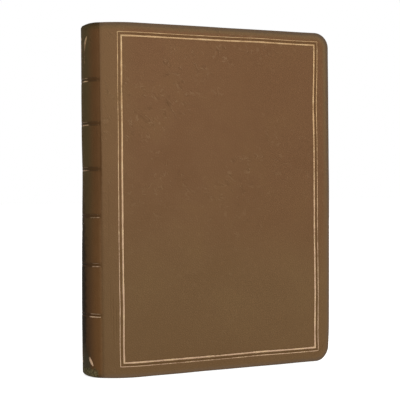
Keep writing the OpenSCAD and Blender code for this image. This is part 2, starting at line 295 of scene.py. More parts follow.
def leather_marks(girth, height, depth):
    """What the leather's material reads at each point, under each mark's name."""
    a = np.abs(girth)
    turned_in = ramp(depth, 0.4, 1.2)
    rim = fall(edge_distance(girth, np.clip(height, 0, BOOK_H)), 0, RIM_W)
    spine = fall(a, HINGE_W - 0.1, HINGE_W + 0.7)
    # The joint takes painted light, which lifts the shade where the shoulder turns away
    joint = (1 - spine) * fall(a, HINGE_W + 4, SHOULDER_W + 1)

    # Painted shade makes the leather darker between the lines of a pair, beside them, and in
    # creases, over the pressed hollows
    past = -line_distance(girth, height, 0)
    beside = 0.4 * bell(past - LINE_PITCH - 0.5, 0.6)
    tooled_and_shaded = on_cover(a) * np.maximum(within(past, 0.05, LINE_PITCH - 0.05, 0.35), beside)
    for z in RULE_Z:
        between = within(height, z - RULE_PITCH / 2, z + RULE_PITCH / 2, 0.35)
        beside = 0.7 * bell(np.abs(height - z) - 0.65, 0.5)
        tooled_and_shaded = np.maximum(tooled_and_shaded, spine * np.maximum(between, beside))
    tooled_and_shaded = np.maximum(tooled_and_shaded, np.clip(crease_depth(girth, height) / 0.20, 0, 0.6))

    # The spine's darker tone has a soft edge low down, and runs wider below the head
    soft, wide = fall(height, 60, 110), fall(height, 100, 135)
    tone = fall(a, HINGE_W - 0.1 + 0.3 * wide - 3.4 * soft,
                HINGE_W + 0.7 + 0.8 * wide + 1.3 * soft)

    # Soiled along the middle of the back and at its lower end, frayed at both ends
    streak = (0.90 - 0.7 * ramp(height, 45, 112)) * fall(a, 1.5, 7.5)
    corner = fading(height, 6.0, 9.0) * fall(a, 5.0, 8.5)
    foot = 0.9 * fading(height, 1.8, 3.0) * fall(a, 9.5, 12.5)
    cap = 0.34 * fading(BOOK_H - height, 1.5, 2.6) * fall(a, 8.0, 12.5)
    return {"rim": np.maximum(rim, turned_in), "spine": tone, "joint": joint,
            "back": spine * fall(a, 5.0, 11.0), "tooled_and_shaded": np.clip(tooled_and_shaded, 0, 1),
            "soiled": spine * np.maximum(corner, streak), "frayed": spine * np.maximum(foot, cap)}


# ---------------------------------------------------------------- meshes


def spaced(start, end, step, dense=(), also=()):
    """Places from start to end a step apart, with some exact ones, and closer where dense
    says, as (middle, reach, step)."""
    ease = 2.5
    places = [start]
    while places[-1] < end:
        here, size = places[-1], step
        for middle, reach, fine in dense:
            away = min(max((abs(here - middle) - reach) / ease, 0), 1)
            size = min(size, fine + (step - fine) * away)
        places.append(here + size)
    places = [p for p in places if p < end - step / 3 and all(abs(p - q) > 0.07 for q in also)]
    return np.array(sorted(places + [end] + list(also)))


def make_piece(name, points, faces, **marks):
    """A smooth closed piece from points in millimetres, with a value or vector for each
    point under each mark's name. Open sections are closed with a sharp edge."""
    mesh = bpy.data.meshes.new(name)
    mesh.from_pydata((np.asarray(points) * MM).tolist(), [], faces)
    for mark, values in marks.items():
        values = np.asarray(values, np.float32)
        kind, field = ("FLOAT_VECTOR", "vector") if values.ndim == 2 else ("FLOAT", "value")
        mesh.attributes.new(mark, kind, "POINT").data.foreach_set(field, values.ravel())
    mesh.shade_smooth()
    mesh.validate()
    mesh.update()
    shape = bmesh.new()
    shape.from_mesh(mesh)
    rim = [edge for edge in shape.edges if edge.is_boundary]
    bmesh.ops.holes_fill(shape, edges=rim, sides=0)
    for edge in rim:
        edge.smooth = False
    bmesh.ops.recalc_face_normals(shape, faces=shape.faces)
    shape.to_mesh(mesh)
    shape.free()
    piece = bpy.data.objects.new(name, mesh)
    bpy.context.scene.collection.objects.link(piece)
    return piece


def grid_faces(index):
    """Quads over a grid of point numbers."""
    quads = np.stack([index[:-1, :-1], index[1:, :-1], index[1:, 1:], index[:-1, 1:]], -1)
    return [tuple(quad) for quad in quads.reshape(-1, 4).tolist()]


def band_faces(a, b):
    """Quads between two rows of point numbers."""
    a, b = np.asarray(a).tolist(), np.asarray(b).tolist()
    return list(zip(a, a[1:], b[1:], b))


def tube_faces(rings):
    """Quads that join closed rings of points in turn, and a face over each end."""
    faces = []
    for a, b in zip(rings, rings[1:]):
        faces += band_faces([*a, a[0]], [*b, b[0]])
    return faces + [tuple(rings[0]), tuple(rings[-1][::-1])]


HEIGHTS = spaced(
    ROLL_R, BOOK_H - ROLL_R, 0.9,
    dense=[(LINE_LO[1] + LINE_PITCH / 2, 1.5, 0.16), (LINE_HI[1] - LINE_PITCH / 2, 1.5, 0.16)]
    + [(z, 0.9, 0.26) for z in RULE_Z],
)


def round_corners(a, z):
    """Draws the square fore-edge corners of a cover's face in to round ones, and gives the
    way outwards there."""
    end = np.where(z < BOOK_H / 2, -1.0, 1.0)
    across, up = a - (FORE_W - CORNER_R), CORNER_R - np.minimum(z, BOOK_H - z)
    inside = (across > 0) & (up > 0)
    across, up = np.where(inside, across, 0), np.where(inside, up, 0)
    far, longest = np.maximum(np.hypot(across, up), 1e-9), np.maximum(across, up)
    draw = (longest / far - 1) * (longest / (CORNER_R - ROLL_R)) ** 2
    return a + across * draw, z + end * up * draw, across / far, end * up / far


def rolled_leather(name, places, side, fore_edge):
    """A skin of leather whose edges are rolled over and turned in, closed on its inner side.

    places are girths from the hinge side to the fore-edge, or from hinge to hinge on the spine.
    """
    a, z = [g.ravel() for g in np.meshgrid(places, HEIGHTS, indexing="ij")]
    out_a, out_z = np.zeros((2, len(a)))
    if fore_edge:
        a, z, out_a, out_z = round_corners(a, z)
    index = np.arange(len(a)).reshape(len(places), len(HEIGHTS))
    faces = grid_faces(index)
    tail, head, fore = index[:, 0], index[::-1, -1], index[-1]
    for end, way in ((tail, -1), (head, 1)):
        out_z[end] = np.where(out_z[end] == 0, way, out_z[end])
    loops = [tail, head]
    if fore_edge:
        beyond_corners = (z[fore] > CORNER_R) & (z[fore] < BOOK_H - CORNER_R)
        straight = fore[(out_a[fore] == 0) & beyond_corners]
        out_a[straight], out_z[straight] = 1, 0
        loops = [np.concatenate([tail, fore[1:-1], head])]

    # The roll's section, as (offset from the edge, depth), is drawn along each loop of the edge
    turned_in = [-0.6, -1.3, -1.8, -1.95] if fore_edge else [-0.6, -1.9, -6.0, -12.0, -12.2]
    rings, ends, count = [np.stack([a, z, 0 * a, a, z])], [], len(a)
    for loop in loops:
        la, lz, da, dz = a[loop], z[loop], out_a[loop], out_z[loop]
        thick, inner = np.full(len(la), CAP_T), np.full(len(la), STIFFENED_T)
        if fore_edge:
            thick = CAP_T + (COVER_T - CAP_T) * ramp(np.abs(la), HINGE_W + 1, HINGE_W + 4)
            inner = np.where(la > BOARD_W - 0.1, COVER_T, LEATHER_T)
        section = [(ROLL_R * math.sin(turn),
                    ROLL_R * (1 - math.cos(turn)) + (thick - 2 * ROLL_R) * (turn > math.pi / 2))
                   for turn in np.linspace(0, math.pi, ROLL_STEPS + 1)[1:]]
        section += [(offset, thick) for offset in turned_in[:-1]] + [(turned_in[-1], inner)]
        previous, run, last_offset, last_depth = loop, 0 * la, 0.0, 0.0
        for offset, depth in section:
            run = run + np.hypot(offset - last_offset, depth - last_depth)
            last_offset, last_depth = offset, depth
            rings.append(np.stack([la + da * offset, lz + dz * offset, depth,
                                   la + da * run, lz + dz * run]))
            ring = count + np.arange(len(la))
            faces += band_faces(ring, previous)
            previous, count = ring, count + len(la)
        ends.append(previous)
    if fore_edge:
        flat = int(np.searchsorted(places, FORE_W - CORNER_R - 1))
        faces += band_faces(previous[::-1][:flat + 1], previous[:flat + 1])
        faces.append(tuple(previous[flat:len(previous) - flat].tolist()))
    else:
        faces += band_faces(ends[1][::-1], ends[0])

    a, z, depth, place_a, place_z = np.concatenate(rings, 1)
    girth = side * a
    lift = relief(girth, np.clip(z, ROLL_R, BOOK_H - ROLL_R)) * fall(depth, 0.1, ROLL_R)
    inward = 0.05 * (1 - hills(girth, z, 13, 41)) * ramp(depth, 0.02, 0.8) * fall(depth, 1.6, 2.2)
    to_middle = np.where(z < ROLL_R, 1, np.where(z > BOOK_H - ROLL_R, -1, 0))
    z = z + inward * to_middle - cap_dip(girth, z)
    a = np.where(a > FORE_W - ROLL_R, a - inward, a) + fore_bow(a, z)
    x, y = skin_point(side * a, depth - lift)
    place = np.stack([side * place_a, place_z, 0 * x], 1)
    return make_piece(name, np.stack([x, y, z], 1), faces, place=place,
                      **leather_marks(girth, z, depth))


# ---------------------------------------------------------------- shader helpers


def colour(code):
    """A shader's colour from the six hex digits that a painter gives it."""
    parts = [int(code[i:i + 2], 16) / 255 for i in (0, 2, 4)]
    return tuple(p / 12.92 if p <= 0.04045 else ((p + 0.055) / 1.055) ** 2.4
                 for p in parts) + (1.0,)


def by_socket(inputs):
    """Values under their sockets' names, from words joined by underscores."""
    return {name.replace("_", " "): value for name, value in inputs.items()}


class Value:
    """An output of a node, which works in sums as a number does. [name] is another of its
    node's outputs."""

    def __init__(self, build, node, output=0):
        self.build, self.node, self.socket = build, node, node.outputs[output]

    def __getitem__(self, output):
        return Value(self.build, self.node, output)

    def __add__(self, other):
        return self.build.math("ADD", self, other)

    def __sub__(self, other):
        return self.build.math("SUBTRACT", self, other)

    def __rsub__(self, number):
        return self.build.math("SUBTRACT", number, self)

    def __mul__(self, other):
        return self.build.math("MULTIPLY", self, other)

    def __rtruediv__(self, number):
        return self.build.math("DIVIDE", number, self)

    def __abs__(self):
        return self.build.math("ABSOLUTE", self)


class Nodes:
    """Adds nodes to one tree. An input is a number, a colour's code, a tuple or a Value."""

    def __init__(self, tree):
        self.tree = tree

    def feed(self, socket, value):
        if isinstance(value, Value):
            self.tree.links.new(value.socket, socket)
        elif value is not None:
            socket.default_value = colour(value) if isinstance(value, str) else value

    def add(self, kind, inputs=(), **settings):
        node = self.tree.nodes.new(kind)
        for key, value in settings.items():
            setattr(node, key, value)
        for key, value in dict(inputs).items():
            self.feed(node.inputs[key], value)
        return Value(self, node)

    def math(self, operation, a, b=None):
        return self.add("ShaderNodeMath", {0: a, 1: b}, operation=operation)

    def mix(self, amount, a, b):
        return self.add("ShaderNodeMix", {0: amount, 6: a, 7: b}, data_type="RGBA")[2]

    def paint(self, base, layers):
        """A colour with others laid over it in turn, each as its amount and its colour."""
        for amount, tone in layers:
            base = self.mix(amount, base, tone)
        return base

    def between(self, value, low, high, to_low=0.0, to_high=1.0):
        return self.add("ShaderNodeMapRange", {0: value, 1: low, 2: high, 3: to_low, 4: to_high},
                        interpolation_type="SMOOTHSTEP")

    def noise(self, place, scale, detail=3.0, rough=0.55, warp=0.0):
        return self.add("ShaderNodeTexNoise", {"Vector": place, "Scale": scale, "Detail": detail,
                                               "Roughness": rough, "Distortion": warp})["Fac"]

    def cells(self, place, scale, feature="F1"):
        return self.add("ShaderNodeTexVoronoi", {"Vector": place, "Scale": scale},
                        feature=feature, voronoi_dimensions="2D")["Distance"]

    def mark(self, name, out="Fac"):
        return self.add("ShaderNodeAttribute", attribute_name=name)[out]

    def stretch(self, place, factors):
        return self.add("ShaderNodeVectorMath", {0: place, 1: factors}, operation="MULTIPLY")

    def shift(self, place, offset):
        return self.add("ShaderNodeVectorMath", {0: place, 1: offset}, operation="ADD")

    def here(self):
        """Place in the book's frame, in millimetres."""
        return self.stretch(self.add("ShaderNodeTexCoord")["Object"], (1 / MM,) * 3)

    def on_skin(self):
        """Place on the leather, its distance round from the middle of the spine, and its height."""
        place = self.mark("place", "Vector")
        split = self.add("ShaderNodeSeparateXYZ", {0: place})
        return place, abs(split["X"]), split["Y"]

    def group(self, tree, **inputs):
        return self.add("ShaderNodeGroup", by_socket(inputs), node_tree=tree)

    def bump(self, height, distance, under=None):
        return self.add("ShaderNodeBump", {"Height": height, "Distance": distance * MM,
                                           "Strength": 1.0, "Normal": under})

    def shade(self, **inputs):
        """Feeds inputs of the material's Principled shader."""
        shader = self.tree.nodes["Principled BSDF"].inputs
        for name, value in by_socket(inputs).items():
            self.feed(shader[name], value)

    def give(self, **outputs):
        """Feeds the outputs of a node group, and returns the group."""
        result = self.tree.nodes.new("NodeGroupOutput").inputs
        for name, value in outputs.items():
            self.feed(result[name], value)
        return self.tree


def effect(name, settings, outputs):
    """The builder and the inputs of a new node group, which reads a place and settings, each
    a number or, with None, a colour."""
    tree = bpy.data.node_groups.new(name, "ShaderNodeTree")
    tree.interface.new_socket("Place", in_out="INPUT", socket_type="NodeSocketVector")
    for label, usual in settings.items():
        kind = "NodeSocketColor" if usual is None else "NodeSocketFloat"
        socket = tree.interface.new_socket(label, in_out="INPUT", socket_type=kind)
        if usual is not None:
            socket.default_value = usual
    for label in outputs:
        kind = "NodeSocketColor" if label == "Color" else "NodeSocketFloat"
        tree.interface.new_socket(label, in_out="OUTPUT", socket_type=kind)
    n = Nodes(tree)
    return n, n.add("NodeGroupInput")


def material(name, **settings):
    """A new material and its builder, with plain settings made on its Principled shader."""
    made = bpy.data.materials.new(name)
    made.use_nodes = True
    n = Nodes(made.node_tree)
    n.shade(**settings)
    return made, n


# ---------------------------------------------------------------- effects that materials share


def make_grain():
    """Pebbled grain: a height, and a mask of the little valleys between the pebbles."""
    n, given = effect("pebble_grain", {"Pebble Size": 1.0, "Softness": 0.5},
                      ("Height", "Valleys"))
    place, scale = given["Place"], 1.0 / given["Pebble Size"]
    edge = n.cells(n.shift(place, n.noise(place, 0.9, 2.0)), scale, "DISTANCE_TO_EDGE")
    pebble = n.between(edge, 0.0, n.math("MAXIMUM", given["Softness"], 0.05))
    return n.give(Height=pebble * 0.8 + n.noise(place, scale * 5.0, 2.0) * 0.35,
                  Valleys=1.0 - pebble)


def make_mottle():
    """Blotches of a darker and a lighter colour over a base, at two sizes."""
    n, given = effect("mottle", {"Base": None, "Dark": None, "Light": None,
                                 "Blotch Size": 20.0, "Amount": 0.5}, ("Color",))
    place, scale, amount = given["Place"], 1.0 / given["Blotch Size"], given["Amount"]
    broad = n.noise(place, scale, 4.0, 0.6, 0.4)
    small = n.noise(place, scale * 7.0, 3.0, 0.6)
    return n.give(Color=n.paint(given["Base"], (
        (n.between(broad, 0.42, 0.70) * amount, given["Dark"]),
        (n.between(broad, 0.55, 0.30) * amount, given["Light"]),
        (n.between(small, 0.5, 0.75) * (amount * 0.35), given["Dark"]),
    )))


def make_wrinkles():
    """Handling marks: short bent wrinkles, lit on one side and dark on the other, and a few
    worn flecks as a mask."""
    n, given = effect("handling_marks_with_painted_light", {"Size": 3.0, "Amount": 0.5}, ("Wrinkles", "Flecks"))
    place, scale, amount = given["Place"], 1.0 / given["Size"], given["Amount"]
    clusters = n.noise(n.shift(place, (23.0, 57.0, 5.0)), scale * 0.12, 2.0)
    cluster = n.between(clusters, 0.40, 0.55)
    ridges = []
    for angle, offset in ((-20, 0.0), (-65, 31.0)):
        slanted = n.add("ShaderNodeVectorRotate", {"Vector": n.shift(place, (offset, offset, 0.0)),
                                                   "Angle": math.radians(angle)},
                        rotation_type="Z_AXIS")
        fold = n.noise(n.stretch(slanted, (0.5, 1.2, 1.0)), scale, 2.2, 0.6, 0.6)
        lit = n.between(abs(fold - 0.53), 0.042, 0.010)
        dark = n.between(abs(fold - 0.46), 0.048, 0.010)
        parts = n.noise(n.shift(slanted, (9.0, 44.0, 0.0)), scale * 1.1, 1.5)
        ridges.append((lit - dark) * n.between(parts, 0.54, 0.64))
    fleck = n.noise(n.stretch(place, (1.0, 1.6, 1.0)), scale * 3.6, 2.0, 0.5)
    return n.give(Wrinkles=(ridges[0] + ridges[1]) * cluster * amount,
                  Flecks=n.between(fleck, 0.70, 0.78) * cluster * amount)


def make_fibres():
    """Paper fibres and the faint lines of the mould, as a height and a mask."""
    n, given = effect("paper_fibres", {"Laid Lines": 1.0}, ("Height", "Cloud"))
    place = given["Place"]
    fibres = n.noise(n.stretch(place, (2.4, 2.4, 0.7)), 1.6, 4.0, 0.65)
    lines = n.add("ShaderNodeTexWave", {"Vector": place, "Scale": 0.30, "Distortion": 0.6,
                                        "Detail": 1.0}, bands_direction="X")["Fac"]
    return n.give(Height=fibres + lines * (given["Laid Lines"] * 0.4),
                  Cloud=n.noise(place, 0.03, 3.0, 0.5))


def make_weave():
    """Two sets of crossing threads, as a height."""
    n, given = effect("weave", {"Thread Pitch": 0.5}, ("Height", "Thread"))
    turns = 2 * math.pi / given["Thread Pitch"]
    split = n.add("ShaderNodeSeparateXYZ", {0: given["Place"]})
    height = n.math("MAXIMUM", *[abs(n.math("SINE", split[axis] * turns)) for axis in "YZ"])
    return n.give(Height=height, Thread=n.between(height, 0.35, 0.85))


GRAIN, MOTTLE, WRINKLES = make_grain(), make_mottle(), make_wrinkles()
FIBRES, WEAVE = make_fibres(), make_weave()

# ---------------------------------------------------------------- materials


def make_leather():
    """Handled brown calf: olive towards the tail, darker over the spine, soiled low on the
    back, frayed at its foot. Painted light lifts its joint, painted shade and highlight lie on
    its rolled rims and its wrinkles, and painted shade lies beside the gilt and in creases."""
    made, n = material("handled_leather", Specular_IOR_Level=0.03)
    place, around, height = n.on_skin()
    rim, spine, joint, back, tooled_and_shaded, soiled, frayed = [n.mark(name) for name in (
        "rim", "spine", "joint", "back", "tooled_and_shaded", "soiled", "frayed")]
    low = n.between(height, 110.0, 30.0)
    ragged = n.noise(place, 0.45, 4.0, 0.65) - 0.5
    uneven = ragged + (n.noise(place, 1.9, 3.0, 0.65) - 0.5)
    grain = n.group(GRAIN, Place=place, Pebble_Size=1.15, Softness=0.35)
    marks = n.group(WRINKLES, Place=place, Size=4.6, Amount=1.0)
    handled = n.between(height, 60.0, 115.0, 0.25, 1.0) * n.between(around, 118.0, 85.0, 0.35, 1.0)
    wrinkles = marks["Wrinkles"] * handled
    cover = n.group(MOTTLE, Place=place, Base="74553b", Dark="6e4f35", Light="785a3c",
                    Blotch_Size=30.0, Amount=0.7)
    cover = n.paint(cover, (
        # Olive at the tail, warmer at the head, darker towards the fore-edge
        (low * 0.6, "6e5739"),
        (n.between(height, 90.0, 155.0) * 0.4, "78553a"),
        (n.between(around, 40.0, 110.0, 0.0, 0.5) * n.between(height, 45.0, 80.0), "6c4d33"),
        # Grain, handling marks, and the wrinkles' painted highlight and painted shade
        (grain["Valleys"] * 0.16, "50391f"),
        (wrinkles * 0.16, "a68a68"),
        (wrinkles * -0.20, "4c3722"),
        (marks["Flecks"] * (handled * 0.3), "4c3722"),
        # Painted light lifts the joint, where the shoulder turns away from the lamp; painted shade
        # lies beside the gilt
        (joint * n.between(height, 50.0, 140.0, 0.25, 0.6), "7d6142"),
        (tooled_and_shaded * 0.35, "4e3514"),
    ))
    cloud = n.noise(place, 0.16, 3.0)
    spine_tone = n.mix(low, n.mix(cloud, "573b21", "5e4228"), n.mix(cloud, "604124", "694a2c"))
    spine_tone = n.paint(spine_tone, (
        (back, n.mix(low, "53462c", "4e3825")),
        # Painted shade between and beside the rules of the spine
        (tooled_and_shaded * 0.5, "33210f"),
    ))
    spine = n.between(spine + uneven * 0.45, 0.15, 0.85)
    # Along the rims rubbing mixes with painted light of the rolled edges: an olive painted
    # highlight inside the roll, and painted shade on the roll
    rubbed = rim + uneven * 0.55
    olive_rim_highlight = n.between(rubbed, 0.05, 0.45) * n.between(height, 20.0, 150.0, 0.15, 0.7)
    rim_wear_and_shade = n.between(rubbed, 0.48, 0.88) * n.between(height, 20.0, 150.0, 0.7, 0.85)
    dark_rim = n.math("MAXIMUM", n.between(height, 30.0, 120.0),
                      n.between(around, 75.0, 120.0, 0.0, 0.45))
    soot = n.between(soiled + ragged * 0.8, 0.15, 0.85)
    crumbs = n.noise(n.stretch(place, (1.0, 0.55, 1.0)), 1.1, 5.0, 0.75)
    torn = n.between(frayed + uneven * 1.1, 0.25, 0.65)
    leather = n.paint(cover, (
        (spine * 0.95, spine_tone),
        # Painted highlight, then painted shade of the rolled rims with their rubbing: darker high
        # up, towards the fore-edge and at the spine's ends, paler and greyer low on the covers
        (olive_rim_highlight, n.mix(spine, "6e593d", "4c3d22")),
        (rim_wear_and_shade * n.between(around, 50.0, 125.0, 0.75, 1.0),
         n.mix(spine, n.mix(dark_rim, "6d5a49", "58493b"), "30291c")),
        (soot * 0.88, n.mix(n.between(height, 19.0, 8.0), "1a1710", "474132")),
        (torn * 0.85, n.mix(n.between(crumbs, 0.36, 0.66), "2f2a1a", "7d7350")),
    ))
    skin = n.bump(grain["Height"], 0.04)
    skin = n.bump(n.noise(place, 6.0, 2.0) * 0.4 + wrinkles, 0.06, under=skin)
    n.shade(Base_Color=leather, Normal=n.bump(torn * crumbs, 0.25, under=skin),
            Roughness=n.noise(place, 0.3) * 0.2 + 0.58 - tooled_and_shaded * 0.08)
    return made


def make_gilt():
    """Rubbed gold leaf: golden towards the head, pale where it is rubbed, with the leather
    showing through."""
    made, n = material("rubbed_gilt")
    place, around, height = n.on_skin()
    gold = n.paint(n.mix(n.between(height, 150.0, 35.0), "b28e62", "bd9c7e"), (
        (n.between(n.noise(place, 0.22, 3.0), 0.45, 0.65, 0.0, 0.45), "d0b386"),
        (n.between(height, 158.0, 166.0, 0.0, 0.4), "846743"),
    ))
    rubbed = n.noise(place, 1.1, 4.0, 0.7) + n.noise(place, 0.12, 2.0) * 0.6
    whole = n.between(n.mark("leaf") + (0.8 - rubbed), 0.2, 0.8)
    leather = n.mix(n.between(around, HINGE_W - 2.0, HINGE_W + 1.0), "4a3521", "6e5132")
    n.shade(Base_Color=n.mix(whole, leather, gold), Metallic=whole * 0.15,
            Specular_IOR_Level=whole * 0.27 + 0.03, Roughness=0.62 - whole * 0.12,
            Normal=n.bump(n.noise(place, 3.0, 3.0), 0.03))
    return made


def make_endpaper():
    """Aged laid paper with its fibres, a cloud of foxing and browner edges."""
    made, n = material("laid_endpaper", Roughness=0.85, Specular_IOR_Level=0.2)
    place = n.mark("place", "Vector")
    fibres = n.group(FIBRES, Place=place, Laid_Lines=1.0)
    foxing = n.between(n.cells(place, 0.16), 0.14, 0.03)
    foxing = foxing * n.between(n.noise(place, 0.07, 2.0), 0.5, 0.7)
    paper = n.paint("e0d0a8", (
        (n.between(fibres["Cloud"], 0.40, 0.80, 0.0, 0.5), "ccb07c"),
        (foxing * 0.6, "b58a55"),
        (n.mark("rim") * 0.55, "c9b183"),
        (fibres["Height"] * 0.12, "a08a62"),
    ))
    n.shade(Base_Color=paper, Normal=n.bump(fibres["Height"], 0.025))
    return made


def make_page_edges():
    """Trimmed edges of the pages: fine lines along each leaf, browner between the gatherings."""
    made, n = material("page_edges", Roughness=0.88, Specular_IOR_Level=0.15)
    here = n.here()
    lines = n.add("ShaderNodeTexWhiteNoise", {"W": n.math("FLOOR", n.mark("leaf") * 240.0)},
                  noise_dimensions="1D")["Value"]
    paper = n.paint(n.mix(lines * 0.6, "e2d2ac", "c8ab7c"), (
        (n.between(n.noise(here, 0.03, 4.0), 0.45, 0.7, 0.0, 0.5), "bf9a66"),
        (n.mark("gap") * 0.5, "92713f"),
    ))
    n.shade(Base_Color=paper, Normal=n.bump(lines + n.noise(here, 1.2, 3.0), 0.03))
    return made


def make_silk():
    """Two silks wound in turn round the bead at head and tail."""
    made, n = material("wound_silk", Roughness=0.5, Sheen_Weight=0.3)
    turn = n.mark("turn")
    odd = n.between(n.math("SINE", turn * (math.pi / 2)), -0.2, 0.2)
    silk = n.mix(n.noise(n.here(), 2.0) * 0.3, n.mix(odd, "8a4a22", "d8bd84"), "4b2f18")
    n.shade(Base_Color=silk, Normal=n.bump(n.math("SINE", turn * (6 * math.pi)), 0.03))
    return made


def make_cloth(name, tone, shadow, pitch):
    """Plain woven cloth, seen at its threads."""
    made, n = material(name, Roughness=0.9, Specular_IOR_Level=0.1)
    weave = n.group(WEAVE, Place=n.here(), Thread_Pitch=pitch)
    cloth = n.mix(n.noise(n.here(), 0.2) * 0.35, n.mix(weave["Thread"], shadow, tone), shadow)
    n.shade(Base_Color=cloth, Normal=n.bump(weave["Height"], 0.08))
    return made


def make_card(name, tone, fleck):
    """Board or brown paper, flecked with fibres."""
    made, n = material(name, Roughness=0.9, Specular_IOR_Level=0.1)
    fibres = n.group(FIBRES, Place=n.here(), Laid_Lines=0.0)
    card = n.mix(n.between(fibres["Height"], 0.45, 0.75), tone, fleck)
    n.shade(Base_Color=n.mix(fibres["Cloud"] * 0.4, card, fleck),
            Normal=n.bump(fibres["Height"], 0.05))
    return made


LEATHER, GILT, ENDPAPER = make_leather(), make_gilt(), make_endpaper()
PAGE_EDGES, SILK = make_page_edges(), make_silk()
FINISHES = {
    "front_board": make_card("millboard", "8f8675", "6d6556"),
    "front_infill": make_card("infill_card", "a39475", "86785c"),
    "hollow_tube": make_card("brown_paper", "a9855a", "8a6a44"),
    "sewing_tapes": make_cloth("linen_tape", "cdc0a3", "9d9072", 0.6),
    "spine_mull": make_cloth("open_mull", "dcd4bf", "a2977c", 1.1),
}
FINISHES["back_board"] = FINISHES["front_board"]
FINISHES["back_infill"] = FINISHES["spine_stiffener"] = FINISHES["front_infill"]


def finish(piece, surface, slot, body, *nodes):
    """Gives a piece its material, its body and the CAD nodes that it stands for. slot is not used.
    """
    piece.data.materials.clear()
    piece.data.materials.append(surface)
    if nodes:
        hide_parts(*nodes)
    if body:
        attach(piece, body)
    return piece


# ---------------------------------------------------------------- camera, light and floor


def place_camera():
    """The photograph's view: from a little left of the cover, at the height of its middle."""
    lens = bpy.data.cameras.new("camera")
    lens.lens = 72.3
    lens.sensor_width = 36
    lens.clip_start = 0.01
    lens.clip_end = 50
    camera = bpy.data.objects.new("camera", lens)
    yaw, down, roll = math.radians(-19.254), math.radians(1.334), math.radians(-0.468)
    stand = Matrix.Translation(Vector((-138.77, -389.33, 94.58)) * MM)
    tilt = Matrix.Rotation(math.pi / 2 - down, 4, "X") @ Matrix.Rotation(roll, 4, "Z")
    camera.matrix_world = stand @ (Matrix.Rotation(yaw, 4, "Z") @ tilt)
    bpy.context.scene.collection.objects.link(camera)
    bpy.context.scene.camera = camera


def place_lamp(name, towards, distance, size, power):
    """A soft square lamp that faces the middle of the book. Distance and size are in metres."""
    light = bpy.data.lights.new(name, "AREA")
    light.size = size
    light.energy = power
    lamp = bpy.data.objects.new(name, light)
    lamp.visible_camera = False
    away = Vector(towards).normalized()
    middle = Vector((0, 0, BOOK_H / 2 * MM))
    turn = away.to_track_quat("Z", "Y").to_matrix().to_4x4()
    lamp.matrix_world = Matrix.Translation(middle + away * distance) @ turn
    bpy.context.scene.collection.objects.link(lamp)


def seen_directly(n):
    """1 for rays that show the background: those of the camera, of gloss and of glass."""
    path = n.add("ShaderNodeLightPath")
    seen = n.math("MAXIMUM", path["Is Camera Ray"], path["Is Glossy Ray"])
    return n.math("MAXIMUM", seen, path["Is Transmission Ray"])


def place_light():
    """A white studio, dim but for what is seen of it, and three soft lamps."""
    world = bpy.data.worlds.new("studio")
    world.use_nodes = True
    n = Nodes(world.node_tree)
    background = world.node_tree.nodes["Background"].inputs
    n.feed(background["Color"], "ffffff")
    n.feed(background["Strength"], seen_directly(n) * 0.85 + 0.15)
    bpy.context.scene.world = world
    bpy.context.scene.view_settings.view_transform = "Standard"
    place_lamp("key_lamp", (0.21, -0.98, 0.42), 1.5, 0.9, 19)
    place_lamp("head_lamp", (-0.75, 0.15, 0.62), 0.42, 0.2, 0.28)
    place_lamp("back_lamp", (0.50, 1.0, 0.50), 1.5, 0.9, 13)


def place_floor():
    """A pale floor that takes the book's shadow and is otherwise as white as the background."""
    half, below = 3.0, 0.0002
    mesh = bpy.data.meshes.new("floor")
    corners = [(-half, -half, 0), (half, -half, 0), (half, half, 0), (-half, half, 0)]
    mesh.from_pydata(corners, [], [(0, 1, 2, 3)])
    floor = bpy.data.objects.new("floor", mesh)
    floor.location.z = -below
    bpy.context.scene.collection.objects.link(floor)
    made, n = material("white_floor", Roughness=0.9, Specular_IOR_Level=0.0,
                       Base_Color=(0.8, 0.8, 0.8, 1), Emission_Color="ffffff")
    away = n.add("ShaderNodeVectorMath", {0: n.here()}, operation="LENGTH")["Value"]
    glow = n.between(away, 200.0, 900.0, 0.80, 1.0)
    n.shade(Emission_Strength=seen_directly(n) * glow)
    mesh.materials.append(made)


# ---------------------------------------------------------------- leather


def bend_at_hinge(piece):
    """Bakes a piece's placing into its mesh."""
    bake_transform(piece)


def cut_leather():
    """The skins of the covers, which reach round the shoulders from just within the hinge lines,
    and of the spine between them.
    """
    over_cover = spaced(
        JOIN_W, FORE_W - ROLL_R, 0.9,
        dense=[(LINE_LO[0] + LINE_PITCH / 2, 1.5, 0.17), (LINE_HI[0] - LINE_PITCH / 2, 1.5, 0.17),
               (HINGE_W + 1, 3, 0.34), (18.6, 2.4, 0.24), (130.0, 1.6, 0.26),
               (FORE_W - 1, 1.5, 0.45)],
        also=[BOARD_W - 0.22, BOARD_W - 0.08],
    )
    for name, side in (("front", -1), ("back", 1)):
        skin = rolled_leather(f"{name}_cover_leather", over_cover, side, True)
        finish(skin, LEATHER, "leather", None, f"{name}_leather")
        bend_at_hinge(skin)
    skin = rolled_leather("spine_skin", spaced(-JOIN_W, JOIN_W, 0.34), 1, False)
    finish(skin, LEATHER, "leather", "pages_and_spine", "spine_leather")


# ---------------------------------------------------------------- gilt

# Cross-section of a gilt line: share of its half width, and height above the leather
LEAF_SECTION = [(-1.15, -0.05), (-0.95, 0.022), (0.0, 0.034), (0.95, 0.022), (1.15, -0.05)]

# Painted glints: girths between which the gold of each pair of rules is kept, and how much, from
# the head; elsewhere it is rubbed to the leather
GLINT_STRETCHES = [(-6.3, -1.5, 0.44), (-6.6, -1.0, 0.44), (-6.0, -0.5, 0.42),
                    (-13.0, -6.5, 0.30), (-12.4, -8.2, 0.36), (-13.0, -7.2, 0.56)]

# The two rules of a pair: rise from the middle, width, and how whole the leaf is
RULES = [(RULE_PITCH / 2, 0.3, -0.02), (-RULE_PITCH / 2, 0.5, 0.12)]


def ribbon(girth, height, across, half, whole, closed=False, hollow=0.0):
    """A gilt line: its middle, the way across it, its half widths, how whole its leaf is,
    whether it runs back to its start, and how much more its middle is rubbed."""
    return girth, height, across, half, whole + 0 * girth, closed, hollow


